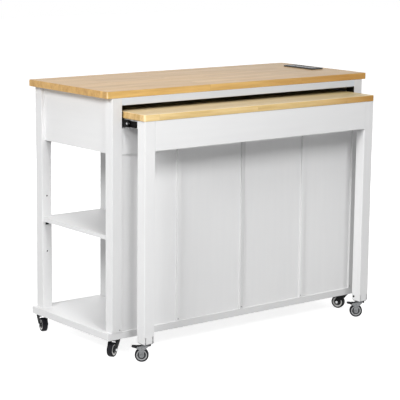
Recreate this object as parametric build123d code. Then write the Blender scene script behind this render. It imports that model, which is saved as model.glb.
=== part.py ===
from build123d import *
import os

# A rolling kitchen island. A table with its own legs slides out of a slot under the worktop.
#
# Millimetres, +Z up, the floor is z = 0 and X runs along the worktop. While the pieces are made, y = 0 is the
# worktop's edge on the table's side, and y grows towards the doors. The finished pieces are moved along Y
# so that the origin lies under the middle of the whole island, with the table pulled out a little.

# Room between pieces: round pieces that turn on each other, pieces that only pass, and past a cut's face
running_clearance = 0.05
running_gap = 0.3
overcut = 5.0

# Worktop
main_length = 1200.0
main_depth = 485.0
main_height = 920.0
top_thickness = 24.0
top_corner_radius = 5.0
top_edge_round = 2.0
top_end_overhang = 21.0
top_far_overhang = 10.0

# Frame of the cabinet
leg_width = 40.0
panel_thickness = 15.0
edge_round = 1.2
apron_setback = 13.0
far_apron_setback = 10.0
upper_rail_height = 25.0
upper_rail_thickness = 18.0
lower_rail_height = 92.0
lower_rail_setback = 2.0
runner_board_height = 40.0

# Bottom board
board_thickness = 25.0
board_end_inset = 5.0
board_near_inset = 2.0
board_far_inset = 1.0

# Inside of the cabinet
cabinet_half_width = 284.0
partition_thickness = 16.0
partition_near_inset = 2.0
back_panel_thickness = 4.0
back_panel_inset = 8.0
side_shelf_clear = 321.0
side_shelf_end_inset = 4.0
side_shelf_far_inset = 15.0
cabinet_shelf_clear = 290.0
cabinet_shelf_far_inset = 22.0
shelf_gap = 0.5

# Shelf pins, in rows of holes
pin_row_pitch = 102.0
pin_peg_radius = 3.0
pin_peg_length = 7.0
pin_peg_drop = 9.0
pin_width = 13.0
pin_tab_length = 9.0
pin_sheet = 2.0
pin_leg_inset = 20.0
pin_near_inset = 60.0
pin_far_inset = 75.0

# Doors
door_thickness = 16.0
door_setback = 2.0
door_gap = 2.2
door_rail_width = 52.0
door_panel_thickness = 6.0
door_stop_gap = 2.0
handle_length = 128.0
handle_bar_radius = 5.0
handle_post_radius = 4.0
handle_post_inset = 12.0
handle_end_round = 1.7
handle_reach = 28.0
handle_edge_inset = 26.0
catch_width = 40.0
catch_depth = 16.0
catch_height = 12.0

# Butt hinges of the doors
hinge_height = 48.0
hinge_sheet = 0.8
hinge_leaf_depth = 13.0
hinge_knuckle_radius = 3.2
hinge_pin_radius = 1.5
hinge_end_inset = 60.0

# Pull-out table
leaf_gap_above = 21.0
leaf_end_gap = 7.0
leaf_depth = 400.0
leaf_thickness = 22.5
leaf_corner_radius = 9.0
leaf_front_overhang = 1.5
leaf_leg_width = 42.0
leaf_leg_end_inset = 4.0
leaf_closed_gap = 1.5
leaf_pulled_out = 72.0
leaf_apron_height = 101.5
leaf_apron_thickness = 18.0
leaf_rail_height = 28.5
leaf_rail_thickness = 15.0
leaf_rail_clearance = 3.0
leaf_rear_setback = 3.0
kerf_width = 5.0
kerf_height = 24.0
kerf_depth = 10.0
kerf_edge_inset = 3.0

# Drawer slides that carry the table
slide_length = 350.0
slide_setback = 3.0
slide_height = 27.0
slide_width = 12.7
slide_sheet = 1.2
slide_top_gap = 1.5
slide_screw_inset = 45.0
slide_hole_radius = 4.0

# Power outlet
outlet_length = 167.0
outlet_width = 60.0
outlet_proud = 5.0
outlet_rebate = 2.0
outlet_fit = 0.3
outlet_corner_radius = 6.0
outlet_edge_round = 1.7
outlet_near_inset = 278.5
outlet_apron_gap = 2.0
housing_length = 148.0
housing_width = 38.0
housing_drop = 20.0
housing_fit = 1.0
socket_pitch = 105.0
socket_slot_gap = 12.7
socket_slot_length = 8.5
socket_slot_width = 2.4
socket_earth_radius = 2.6
socket_earth_drop = 11.0
charge_port_length = 8.8
charge_port_width = 2.8
charge_port_pitch = 20.0

# Casters of both kinds
plate_thickness = 2.5
plate_corner_radius = 4.0
plate_screw_inset = 5.0
swivel_gap = 0.4
race_height = 3.5
race_radius = 15.0
kingpin_radius = 4.0
kingpin_head_radius = 7.0
kingpin_head_thickness = 1.5
fork_sheet = 2.2
axle_radius = 3.0
axle_head_radius = 5.0
axle_head_thickness = 2.0
hub_side_gap = 0.8
tyre_thickness = 5.5
tyre_shoulder = 3.5
hub_rim_width = 5.5
hub_rim_recess = 1.0
hub_web_thickness = 8.0
hub_boss_radius = 6.0
wheel_rest_turn = 0.6

# Black casters of the cabinet
main_wheel_diameter = 50.0
main_wheel_width = 20.0
main_hub_width = 26.0
main_wheel_gap = 4.4
main_trail = 21.0
main_plate_size = 42.0
near_caster_end_inset = 50.0
near_caster_edge_inset = 31.0
far_caster_end_inset = 26.0
far_caster_edge_inset = 22.0
main_boss_radius = 7.0

# Zinc casters of the table, with brakes
leaf_wheel_diameter = 48.0
leaf_wheel_width = 18.0
leaf_hub_width = 18.0
leaf_wheel_gap = 9.4
leaf_trail = 13.0
leaf_plate_size = 38.0
leaf_boss_radius = 8.5
leaf_neck_rise = 17.0
brake_pivot_ahead = 12.0
brake_pivot_drop = 5.5
brake_pivot_radius = 1.8
brake_lug_radius = 5.0
brake_root_radius = 3.0
brake_tip_radius = 1.5
brake_pad_gap = 1.5
brake_pedal_reach = 23.0
brake_pedal_width = 24.0
brake_pedal_rise = 2.5
brake_shoe_drop = 4.6
brake_shoe_radius = 1.6

# Which way each caster trails at rest, in degrees from +X
trail_near_left = 208.0
trail_near_right = 116.0
trail_far_left = 255.0
trail_far_right = 285.0
trail_leaf = 141.4

# Screws
screw_head_radius = 3.5
screw_head_thickness = 1.5
screw_shank_radius = 1.8
foot_screw_radius = 2.6
foot_screw_depth = 6.0
foot_screw_sink = 2.0
foot_screw_rise = 7.0
leg_foot_screw_inset = 8.0
leaf_foot_screw_rise = 14.0
leaf_foot_screw_back = 10.5

# Heights worked out from the sizes above
fork_stack = fork_sheet + race_height + swivel_gap + plate_thickness
main_caster_height = main_wheel_diameter + main_wheel_gap + fork_stack
leaf_caster_height = leaf_wheel_diameter + leaf_wheel_gap + fork_stack
board_top = main_caster_height + board_thickness
top_under = main_height - top_thickness
slot_top = top_under - upper_rail_height
leaf_top_z = slot_top - leaf_gap_above
leaf_under = leaf_top_z - leaf_thickness
leaf_rail_bottom = leaf_under - leaf_rail_height
slot_bottom = leaf_rail_bottom - leaf_rail_clearance
bay_bottom = slot_bottom - lower_rail_height
bay_floor_top = bay_bottom + panel_thickness
slide_middle_z = leaf_under - slide_top_gap - slide_height / 2
side_shelf_under = board_top + side_shelf_clear
cabinet_shelf_under = board_top + cabinet_shelf_clear

# Places along X
leg_outer = main_length / 2 - top_end_overhang
leg_inner = leg_outer - leg_width
apron_inner = leg_outer - apron_setback - panel_thickness
partition_outer = cabinet_half_width + partition_thickness
centre_half = partition_thickness / 2
board_end = main_length / 2 - board_end_inset
near_caster_x = board_end - near_caster_end_inset
far_caster_x = board_end - far_caster_end_inset
leaf_end = leg_inner - leaf_end_gap
leaf_leg_outer = leaf_end - leaf_leg_end_inset
leaf_leg_inner = leaf_leg_outer - leaf_leg_width
leaf_rail_outer = leg_inner - slide_width
outlet_x = apron_inner - outlet_apron_gap - housing_width / 2

# Places along Y
far_leg_y = main_depth - top_far_overhang
far_leg_near_y = far_leg_y - leg_width
far_apron_y = far_leg_y - far_apron_setback
far_apron_near_y = far_apron_y - panel_thickness
lower_rail_far_y = lower_rail_setback + panel_thickness
panel_inner_y = back_panel_inset + back_panel_thickness
door_front = far_leg_y - door_setback
door_back = door_front - door_thickness
handle_tip = door_front + handle_reach
board_far_y = main_depth - board_far_inset
near_caster_y = board_near_inset + near_caster_edge_inset
far_caster_y = board_far_y - far_caster_edge_inset
leaf_leg_back = -leaf_closed_gap - leaf_pulled_out
leaf_leg_front = leaf_leg_back - leaf_leg_width
leaf_front = leaf_leg_front - leaf_front_overhang
leaf_rear = leaf_front + leaf_depth
leaf_rail_end = leaf_rear - leaf_rear_setback
leaf_caster_x = leaf_leg_outer - leaf_leg_width / 2
leaf_caster_y = leaf_leg_back - leaf_leg_width / 2
middle_y = (max(main_depth, handle_tip) + leaf_front) / 2

# Where the door's hinge axis stands: in the gap at the door's edge, just proud of its front
hinge_x = cabinet_half_width - door_gap / 2
hinge_y = door_front + hinge_knuckle_radius + running_gap
hinge_low_z = board_top + hinge_end_inset
hinge_high_z = bay_bottom - hinge_end_inset - hinge_height


def block(x0, x1, y0, y1, z0, z1):
    """A box between two limits on each axis, in either order along X."""
    size = Box(abs(x1 - x0), y1 - y0, z1 - z0)
    return Pos((x0 + x1) / 2, (y0 + y1) / 2, (z0 + z1) / 2) * size


def eased(shape, axis):
    """Rounds a board's long edges, those that run along one axis."""
    return fillet(shape.edges().filter_by(axis), edge_round)


def rod(radius, start, end, axis):
    """A cylinder about a line through the origin, from start to end along X, Y or Z."""
    length = end - start
    turn = {"x": Rot(0, 90, 0), "y": Rot(-90, 0, 0), "z": Rot(0, 0, 0)}[axis]
    return turn * Pos(0, 0, (start + end) / 2) * Cylinder(radius, length)


def group(*shapes):
    """Several separate solids in one node."""
    return Compound(children=[solid for shape in shapes for solid in shape.solids()])


def both_ends(shape):
    """A piece at the right end and its mirror image at the left."""
    return group(shape, mirror(shape, about=Plane.YZ))


def wooden_top(x, y0, y1, z0, z1, corner_radius):
    """A top with rounded corners and softened edges above and below."""
    slab = block(-x, x, y0, y1, z0, z1)
    slab = fillet(slab.edges().filter_by(Axis.Z), corner_radius)
    rims = slab.faces().sort_by(Axis.Z)[-1].edges() + slab.faces().sort_by(Axis.Z)[0].edges()
    return fillet(rims, top_edge_round)


# Shelf pins: each has a peg in a hole, and a tab under the shelf.
# A place is the hole's host, the point on its face, the way the face looks in degrees, and the height
# of the shelf's underside.
def pin_places():
    places = []
    for side, sign in (("left", -1), ("right", 1)):
        pin_x = sign * (leg_inner + pin_leg_inset)
        outward = 0 if sign > 0 else 180
        inward = 180 - outward
        places.append((f"leg_near_{side}", pin_x, leg_width, 90, side_shelf_under))
        places.append((f"leg_far_{side}", pin_x, far_leg_near_y, -90, side_shelf_under))
        for y in (pin_near_inset, main_depth - pin_far_inset):
            host = f"partition_{side}"
            places.append((host, sign * partition_outer, y, outward, side_shelf_under))
            places.append((host, sign * cabinet_half_width, y, inward, cabinet_shelf_under))
            places.append(("partition_centre", sign * centre_half, y, outward, cabinet_shelf_under))
    return places


def shelf_pin():
    """A pin at the origin of its face, which looks along +X, with the shelf resting at z = 0."""
    half = pin_width / 2
    plate = block(0, pin_sheet, -half, half, -pin_peg_drop - pin_peg_radius, 0)
    tab = block(0, pin_tab_length, -half, half, -pin_sheet, 0)
    peg = Pos(0, 0, -pin_peg_drop) * rod(pin_peg_radius, -pin_peg_length, 0, "x")
    return plate + tab + peg


def drilled(shape, host):
    """Cuts a host's rows of pin holes."""
    hole = rod(pin_peg_radius + running_clearance, -pin_peg_length - shelf_gap, pin_sheet, "x")
    for name, x, y, turn, under in pin_places():
        if name == host:
            for row in (-1, 0, 1):
                z = under - pin_peg_drop + row * pin_row_pitch
                shape -= Pos(x, y, z) * Rot(0, 0, turn) * hole
    return shape


def shelf_pins():
    return group(*[Pos(x, y, z) * Rot(0, 0, turn) * shelf_pin() for _, x, y, turn, z in pin_places()])


# The cabinet's wooden frame
def main_top():
    """The worktop, with a cut-out for the outlet's housing and a rebate for its face plate."""
    top = wooden_top(main_length / 2, 0, main_depth, top_under, main_height, top_corner_radius)
    half_x = housing_width / 2 + housing_fit
    half_y = housing_length / 2 + housing_fit
    cut_out = block(-half_x, half_x, -half_y, half_y, -top_thickness - overcut, overcut)
    half_x = outlet_width / 2 + outlet_fit
    half_y = outlet_length / 2 + outlet_fit
    rebate = block(-half_x, half_x, -half_y, half_y, -outlet_rebate, overcut)
    rebate = fillet(rebate.edges().filter_by(Axis.Z), outlet_corner_radius + outlet_fit)
    return top - Pos(outlet_x, outlet_near_inset, main_height) * (cut_out + rebate)


def leg(sign, y0):
    post = block(sign * leg_inner, sign * leg_outer, y0, y0 + leg_width, board_top, top_under)
    return eased(post, Axis.Z)


def side_apron(sign):
    outer = sign * (apron_inner + panel_thickness)
    board = block(sign * apron_inner, outer, leg_width, far_leg_near_y, bay_bottom, top_under)
    return eased(board, Axis.Y)


def apron_far():
    board = block(-leg_inner, leg_inner, far_apron_near_y, far_apron_y, bay_bottom, top_under)
    return eased(board, Axis.X)


def slot_rail_upper():
    return eased(block(-leg_inner, leg_inner, 0, upper_rail_thickness, slot_top, top_under), Axis.X)


def slot_rail_lower():
    rail = block(-leg_inner, leg_inner, lower_rail_setback, lower_rail_far_y, bay_bottom, slot_bottom)
    return eased(rail, Axis.X)


def around_legs(shape, gap):
    """Notches a shelf round the legs, with a gap."""
    for sign in (-1, 1):
        for y0 in (0, far_leg_near_y):
            shape -= block(
                sign * (leg_inner - gap),
                sign * (leg_outer + gap),
                y0 - gap,
                y0 + leg_width + gap,
                board_top,
                top_under,
            )
    return shape


def bay_floor():
    floor = block(-apron_inner, apron_inner, lower_rail_far_y, far_apron_near_y, bay_bottom, bay_floor_top)
    return around_legs(floor, 0)


def runner_boards():
    """Boards inside the aprons, flush with the legs, that the slides are screwed to."""
    half = runner_board_height / 2
    return both_ends(
        block(leg_inner, apron_inner, leg_width, far_leg_near_y, slide_middle_z - half, slide_middle_z + half)
    )


def bottom_board():
    board = block(-board_end, board_end, board_near_inset, board_far_y, main_caster_height, board_top)
    board = fillet(board.edges().filter_by(Axis.Z), top_edge_round)
    return fillet(board.faces().sort_by(Axis.Z)[-1].edges(), edge_round)


def foot_screw_hole():
    """A hole in a face that looks along -Y."""
    return rod(foot_screw_radius + running_clearance, -overcut, foot_screw_depth, "y")


def foot_screw_places():
    """The screws at the foot of the partitions' and the near legs' near faces."""
    z = board_top + foot_screw_rise
    partitions = [(sign * (cabinet_half_width + centre_half), partition_near_inset, z) for sign in (-1, 1)]
    legs = [(sign * (leg_inner + leg_foot_screw_inset), 0, z) for sign in (-1, 1)]
    return partitions + [(0, partition_near_inset, z)] + legs


def partition(x0, x1, far_y):
    board = block(x0, x1, partition_near_inset, far_y, board_top, bay_bottom)
    board = eased(board, Axis.Z)
    for x, y, z in foot_screw_places():
        if x0 < x < x1:
            board -= Pos(x, y, z) * foot_screw_hole()
    return board


def near_leg(sign):
    post = leg(sign, 0)
    for x, y, z in foot_screw_places():
        if leg_inner < sign * x < leg_outer:
            post -= Pos(x, y, z) * foot_screw_hole()
    return post


def cabinet_screws():
    """Foot screws, sunk a little below the surface."""
    screw = rod(foot_screw_radius, foot_screw_sink, foot_screw_depth, "y")
    return group(*[Pos(x, y, z) * screw for x, y, z in foot_screw_places()])


def back_panels():
    """Thin panels between the legs and the partitions."""
    spans = [(partition_outer, leg_inner), (centre_half, cabinet_half_width)]
    return both_ends(
        group(*[block(a, b, back_panel_inset, panel_inner_y, board_top, bay_bottom) for a, b in spans])
    )


def side_shelf(sign):
    shelf = block(
        sign * (partition_outer + shelf_gap),
        sign * (leg_outer - side_shelf_end_inset),
        panel_inner_y + shelf_gap,
        far_leg_y - side_shelf_far_inset,
        side_shelf_under,
        side_shelf_under + panel_thickness,
    )
    return around_legs(shelf, shelf_gap)


def cabinet_shelves():
    return both_ends(
        block(
            centre_half + shelf_gap,
            cabinet_half_width - shelf_gap,
            panel_inner_y + shelf_gap,
            door_back - cabinet_shelf_far_inset,
            cabinet_shelf_under,
            cabinet_shelf_under + panel_thickness,
        )
    )


# Doors, made for the left and mirrored for the right
def door_left():
    x0 = -cabinet_half_width + door_gap
    x1 = -door_gap / 2
    z0 = board_top + door_gap
    z1 = bay_bottom - door_gap
    slab = eased(block(x0, x1, door_back, door_front, z0, z1), Axis.Z)
    wide = door_rail_width
    middle = (door_front + door_back) / 2
    hole = block(x0 + wide, x1 - wide, door_back, door_front, z0 + wide, z1 - wide)
    panel = block(
        x0 + wide,
        x1 - wide,
        middle - door_panel_thickness / 2,
        middle + door_panel_thickness / 2,
        z0 + wide,
        z1 - wide,
    )
    return group(slab - hole, panel)


def door_left_handle():
    """A round bar on two posts, upright beside the meeting edge."""
    x = -door_gap / 2 - handle_edge_inset
    z = (board_top + bay_bottom) / 2
    bar_y = handle_tip - handle_bar_radius
    bar = Pos(x, bar_y, z) * rod(handle_bar_radius, -handle_length / 2, handle_length / 2, "z")
    bar = fillet(bar.edges(), handle_end_round)
    for end in (-1, 1):
        post_z = z + end * (handle_length / 2 - handle_post_inset)
        bar += Pos(x, 0, post_z) * rod(handle_post_radius, door_front, bar_y, "y")
    return bar


def hinge_zs():
    return (hinge_low_z, hinge_high_z)


def knuckle_cut(z0, z1):
    return Pos(-hinge_x, hinge_y, 0) * rod(hinge_knuckle_radius + running_gap, z0, z1, "z")


def knuckle(z0, z1):
    return Pos(-hinge_x, hinge_y, 0) * rod(hinge_knuckle_radius, z0, z1, "z")


def hinge_pin(z0, z1, clearance):
    return Pos(-hinge_x, hinge_y, 0) * rod(hinge_pin_radius + clearance, z0, z1, "z")


def hinge_plate_left(z):
    """The leaf on the partition, with the lower and upper knuckles and the pin."""
    low = z + hinge_height / 3
    high = z + 2 * hinge_height / 3
    leaf = block(
        -cabinet_half_width,
        -cabinet_half_width + hinge_sheet,
        door_front - hinge_leaf_depth,
        hinge_y,
        z,
        z + hinge_height,
    )
    leaf = leaf - knuckle_cut(low - running_gap, high + running_gap)
    leaf += knuckle(z, low) + knuckle(high, z + hinge_height)
    return leaf + hinge_pin(z, z + hinge_height, 0)


def hinge_leaf_left(z):
    """The leaf on the door's edge, with the middle knuckle, which turns on the pin."""
    low = z + hinge_height / 3
    high = z + 2 * hinge_height / 3
    edge = -cabinet_half_width + door_gap
    leaf = block(edge - hinge_sheet, edge, door_front - hinge_leaf_depth, hinge_y, z, z + hinge_height)
    leaf -= knuckle_cut(z - running_gap, low + running_gap)
    leaf -= knuckle_cut(high - running_gap, z + hinge_height + running_gap)
    leaf += knuckle(low + running_gap, high - running_gap)
    return leaf - hinge_pin(z, z + hinge_height, running_clearance)


def hinge_plates():
    return both_ends(group(*[hinge_plate_left(z) for z in hinge_zs()]))


def door_left_hinges():
    return group(*[hinge_leaf_left(z) for z in hinge_zs()])


def door_catches():
    """Magnetic catches under the bay floor, behind the doors' meeting edges."""
    far_y = door_back - door_stop_gap
    x0 = centre_half + handle_edge_inset
    catch = block(x0, x0 + catch_width, far_y - catch_depth, far_y, bay_bottom - catch_height, bay_bottom)
    return both_ends(catch)


# Power outlet in the worktop
def outlet_housing():
    return block(
        outlet_x - housing_width / 2,
        outlet_x + housing_width / 2,
        outlet_near_inset - housing_length / 2,
        outlet_near_inset + housing_length / 2,
        top_under - housing_drop,
        main_height - outlet_rebate,
    )


def outlet_faceplate():
    """A face plate with two earthed sockets and two charging ports."""
    half_x = outlet_width / 2
    half_y = outlet_length / 2
    plate = block(-half_x, half_x, -half_y, half_y, -outlet_rebate, outlet_proud)
    plate = fillet(plate.edges().filter_by(Axis.Z), outlet_corner_radius)
    plate = fillet(plate.faces().sort_by(Axis.Z)[-1].edges(), outlet_edge_round)
    through = 2 * (outlet_proud + overcut)
    slot = Box(socket_slot_width, socket_slot_length, through)
    earth = Cylinder(socket_earth_radius, through)
    port = Box(charge_port_width, charge_port_length, through)
    for socket_y in (-socket_pitch / 2, socket_pitch / 2):
        for x in (-socket_slot_gap / 2, socket_slot_gap / 2):
            plate -= Pos(x, socket_y, 0) * slot
        plate -= Pos(0, socket_y - socket_earth_drop, 0) * earth
    for x in (-charge_port_pitch / 2, charge_port_pitch / 2):
        plate -= Pos(x, 0, 0) * port
    return Pos(outlet_x, outlet_near_inset, main_height) * plate


# Pull-out table
def leaf_top():
    return wooden_top(leaf_end, leaf_front, leaf_rear, leaf_under, leaf_top_z, leaf_corner_radius)


def leaf_foot_screw_place(sign):
    """The screw in the foot of a table leg's inner face."""
    y = leaf_leg_back - leaf_foot_screw_back
    return Pos(sign * leaf_leg_inner, y, leaf_caster_height + leaf_foot_screw_rise)


def leaf_leg(sign):
    """A table leg, with two kerfs at the foot of its front and a screw hole in its inner face."""
    post = block(
        sign * leaf_leg_inner,
        sign * leaf_leg_outer,
        leaf_leg_front,
        leaf_leg_back,
        leaf_caster_height,
        leaf_under,
    )
    post = eased(post, Axis.Z)
    for inset in (kerf_edge_inset, leaf_leg_width - kerf_edge_inset - kerf_width):
        x = leaf_leg_inner + inset
        post -= block(
            sign * x,
            sign * (x + kerf_width),
            leaf_leg_front,
            leaf_leg_front + kerf_depth,
            leaf_caster_height,
            leaf_caster_height + kerf_height,
        )
    hole = rod(foot_screw_radius + running_clearance, 0, foot_screw_depth, "x")
    turn = Rot(0, 0, 0) if sign > 0 else Rot(0, 0, 180)
    return post - leaf_foot_screw_place(sign) * turn * hole


def leaf_apron():
    board = block(
        -leaf_leg_inner,
        leaf_leg_inner,
        leaf_leg_front,
        leaf_leg_front + leaf_apron_thickness,
        leaf_under - leaf_apron_height,
        leaf_under,
    )
    return eased(board, Axis.X)


def leaf_side_rails():
    return both_ends(
        block(
            leaf_rail_outer - leaf_rail_thickness,
            leaf_rail_outer,
            leaf_leg_back,
            leaf_rail_end,
            leaf_rail_bottom,
            leaf_under,
        )
    )


def leaf_rear_rail():
    x = leaf_rail_outer - leaf_rail_thickness
    return block(-x, x, leaf_rail_end - leaf_rail_thickness, leaf_rail_end, leaf_rail_bottom, leaf_under)


def slide_channel(web, lips, half_height, y0):
    """One member of a slide at the right end: a C with its web and lips at these depths from the leg."""
    height = half_height
    sheet = slide_sheet
    x_web = [leg_inner - depth for depth in web]
    x_lips = [leg_inner - depth for depth in lips]
    y1 = y0 + slide_length
    z = slide_middle_z
    channel = block(x_web[0], x_web[1], y0, y1, z - height, z + height)
    channel += block(x_lips[0], x_lips[1], y0, y1, z + height - sheet, z + height)
    return channel + block(x_lips[0], x_lips[1], y0, y1, z - height, z - height + sheet)


# Each member nests in the next one, a running gap apart
outer_web = (0, slide_sheet)
middle_web = (slide_sheet + running_gap, 2 * slide_sheet + running_gap)
inner_web = (slide_width - slide_sheet, slide_width)
outer_half = slide_height / 2
middle_half = outer_half - slide_sheet - running_gap
inner_half = middle_half - slide_sheet - running_gap
lip_tip = inner_web[0] - running_gap
inner_lip_start = middle_web[1] + running_gap
middle_y0 = slide_setback - leaf_pulled_out / 2
inner_y0 = slide_setback - leaf_pulled_out
slide_screw_y = inner_y0 + slide_screw_inset


def slide_outer_members():
    return both_ends(slide_channel(outer_web, (0, lip_tip), outer_half, slide_setback))


def slide_middle_members():
    """The middle member has a hole that shows the inner member's first screw in this position."""
    member = slide_channel(middle_web, (middle_web[0], lip_tip), middle_half, middle_y0)
    hole = rod(slide_hole_radius, leg_inner - inner_lip_start, leg_inner, "x")
    return both_ends(member - Pos(0, slide_screw_y, slide_middle_z) * hole)


def slide_inner_members():
    return both_ends(slide_channel(inner_web, (inner_lip_start, slide_width), inner_half, inner_y0))


def slide_screw_places():
    """Three screws along each inner member."""
    step = (slide_length - 2 * slide_screw_inset) / 2
    return [slide_screw_y + step * i for i in range(3)]


# Casters. Each is made with its swivel axis on Z and its wheel trailing along +X, then turned and placed.
def stack_heights(caster_height):
    """The undersides of a caster's plate and of its fork's bridge."""
    plate_under = caster_height - plate_thickness
    return plate_under, plate_under - swivel_gap - race_height - fork_sheet


def plate_screw_points(plate_size):
    reach = plate_size / 2 - plate_screw_inset
    return [(x, y) for x in (-reach, reach) for y in (-reach, reach)]


def caster_plate(caster_height, plate_size):
    """A screwed plate with a kingpin, whose head holds up the fork."""
    under, bridge_under = stack_heights(caster_height)
    half = plate_size / 2
    plate = block(-half, half, -half, half, under, caster_height)
    plate = fillet(plate.edges().filter_by(Axis.Z), plate_corner_radius)
    hole = rod(screw_shank_radius + running_clearance, under, caster_height, "z")
    for x, y in plate_screw_points(plate_size):
        plate -= Pos(x, y, 0) * hole
    head_top = bridge_under - swivel_gap
    plate += rod(kingpin_radius, head_top, under, "z")
    return plate + rod(kingpin_head_radius, head_top - kingpin_head_thickness, head_top, "z")


def caster_screws(caster_height, plate_size):
    """Pan head screws up through a caster's plate."""
    under, _ = stack_heights(caster_height)
    screw = rod(screw_shank_radius, under, caster_height, "z")
    screw += rod(screw_head_radius, under - screw_head_thickness, under, "z")
    return [Pos(x, y, 0) * screw for x, y in plate_screw_points(plate_size)]


def upright(profile, inner, outer):
    """A profile drawn in X and Z, made a sheet between two distances from the X-Z plane on both sides."""
    sheet = extrude(Plane.XZ.offset(inner) * profile, outer - inner)
    return sheet + mirror(sheet, about=Plane.XZ)


def strip(x0, x1, z0, z1):
    return Pos((x0 + x1) / 2, (z0 + z1) / 2) * Rectangle(x1 - x0, z1 - z0)


def hull(*faces):
    return make_hull([edge for face in faces for edge in face.edges()])


def fork_half_width(hub_width):
    return hub_width / 2 + hub_side_gap


def fork(caster_height, hub_width, wheel_radius, trail, arm):
    """A pressed fork: race, bridge and two arms, with holes for the kingpin and the axle."""
    _, bridge_under = stack_heights(caster_height)
    bridge_top = bridge_under + fork_sheet
    inner = fork_half_width(hub_width)
    outer = inner + fork_sheet
    bridge = block(-race_radius, race_radius, -outer, outer, bridge_under, bridge_top)
    body = bridge + rod(race_radius, bridge_under, bridge_top + race_height, "z")
    body += upright(arm, inner, outer)
    body -= rod(kingpin_radius + running_clearance, bridge_under, bridge_top + race_height, "z")
    axle_hole = rod(axle_radius + running_clearance, -outer, outer, "y")
    return body - Pos(trail, 0, wheel_radius) * axle_hole


def axle(hub_width, wheel_radius, trail):
    """A riveted axle with a head on each side."""
    outer = fork_half_width(hub_width) + fork_sheet
    tip = outer + axle_head_thickness
    pin = rod(axle_radius, -outer, outer, "y")
    for y0, y1 in ((-tip, -outer), (outer, tip)):
        pin += rod(axle_head_radius, y0, y1, "y")
    return Pos(trail, 0, wheel_radius) * pin


def ring(r0, r1, half_width):
    """A ring's section, with its radius along X."""
    return Pos((r0 + r1) / 2, 0) * Rectangle(r1 - r0, 2 * half_width)


def wheel(radius, width, hub_width, trail):
    """A rubber tyre round a hub with a rim, a thin web and a boss that reaches to the fork."""
    rim_outer = radius - tyre_thickness
    rim_inner = rim_outer - hub_rim_width
    tread = ring(rim_outer, radius, width / 2)
    tread = fillet(tread.vertices().group_by(Axis.X)[-1], tyre_shoulder)
    hub = ring(axle_radius + running_clearance, hub_boss_radius, hub_width / 2)
    hub += ring(hub_boss_radius, rim_inner, hub_web_thickness / 2)
    hub += ring(rim_inner, rim_outer - running_clearance, width / 2 - hub_rim_recess)
    turned = [revolve(Plane.XZ * section, Axis.Z) for section in (tread, hub)]
    standing = Pos(trail, 0, radius) * Rot(0, wheel_rest_turn, 0) * Rot(90, 0, 0)
    return group(*[standing * solid for solid in turned])


def main_arm():
    """A broad arm from the bridge down to the axle."""
    _, bridge_under = stack_heights(main_caster_height)
    head = strip(-race_radius, main_trail, bridge_under, bridge_under + fork_sheet)
    boss = Pos(main_trail, main_wheel_diameter / 2) * Circle(main_boss_radius)
    return hull(head, boss)


def brake_pivot():
    """The brake pedal's pivot, in X and Z."""
    _, bridge_under = stack_heights(leaf_caster_height)
    return leaf_trail + brake_pivot_ahead, bridge_under - brake_pivot_drop


def leaf_arm():
    """A narrow arm with wings at its top, one of them the lug of the brake."""
    _, bridge_under = stack_heights(leaf_caster_height)
    head = strip(-race_radius, race_radius, bridge_under, bridge_under + fork_sheet)
    lug = Pos(*brake_pivot()) * Circle(brake_lug_radius)
    neck_z = leaf_wheel_diameter / 2 + leaf_neck_rise
    neck = strip(leaf_trail - leaf_boss_radius, leaf_trail + leaf_boss_radius, neck_z, neck_z + fork_sheet)
    boss = Pos(leaf_trail, leaf_wheel_diameter / 2) * Circle(leaf_boss_radius)
    return hull(head, lug, neck) + hull(neck, boss)


def leaf_fork():
    """The table caster's fork, with the bar that the brake pedal turns on."""
    radius = leaf_wheel_diameter / 2
    body = fork(leaf_caster_height, leaf_hub_width, radius, leaf_trail, leaf_arm())
    x, z = brake_pivot()
    inner = fork_half_width(leaf_hub_width)
    return body + Pos(x, 0, z) * rod(brake_pivot_radius, -inner, inner, "y")


def brake_pedal():
    """A rocker on the fork's bar, with a shoe over the tyre and a wide pad outside the fork."""
    x, z = brake_pivot()
    inner = fork_half_width(leaf_hub_width) - hub_side_gap
    root_x = x + brake_lug_radius + brake_pad_gap + brake_root_radius
    tip_x = x + brake_pedal_reach - brake_tip_radius
    eye = Pos(x, z) * Circle(brake_lug_radius - hub_side_gap)
    shoe = Pos(x, z - brake_shoe_drop) * Circle(brake_shoe_radius)
    root = Pos(root_x, z) * Circle(brake_root_radius)
    end = Pos(tip_x, z + brake_pedal_rise) * Circle(brake_tip_radius)
    body = extrude(Plane.XZ * hull(eye, root, shoe), inner, both=True)
    body += extrude(Plane.XZ * hull(root, end), brake_pedal_width / 2, both=True)
    hole = rod(brake_pivot_radius + running_clearance, -inner, inner, "y")
    return body - Pos(x, 0, z) * hole


# Where each caster stands, and which way it trails
main_casters = {
    "near_left": (-near_caster_x, near_caster_y, trail_near_left),
    "near_right": (near_caster_x, near_caster_y, trail_near_right),
    "far_left": (-far_caster_x, far_caster_y, trail_far_left),
    "far_right": (far_caster_x, far_caster_y, trail_far_right),
}
leaf_casters = {
    "leaf_left": (-leaf_caster_x, leaf_caster_y, trail_leaf),
    "leaf_right": (leaf_caster_x, leaf_caster_y, trail_leaf),
}


def placed(place, shape, turned=True):
    x, y, trail_angle = place
    return Pos(x, y, 0) * Rot(0, 0, trail_angle if turned else 0) * shape


def plates(places, caster_height, plate_size):
    return group(*[placed(p, caster_plate(caster_height, plate_size), False) for p in places.values()])


def plate_screws(places, caster_height, plate_size):
    screws = caster_screws(caster_height, plate_size)
    return group(*[placed(p, screw, False) for p in places.values() for screw in screws])


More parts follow.
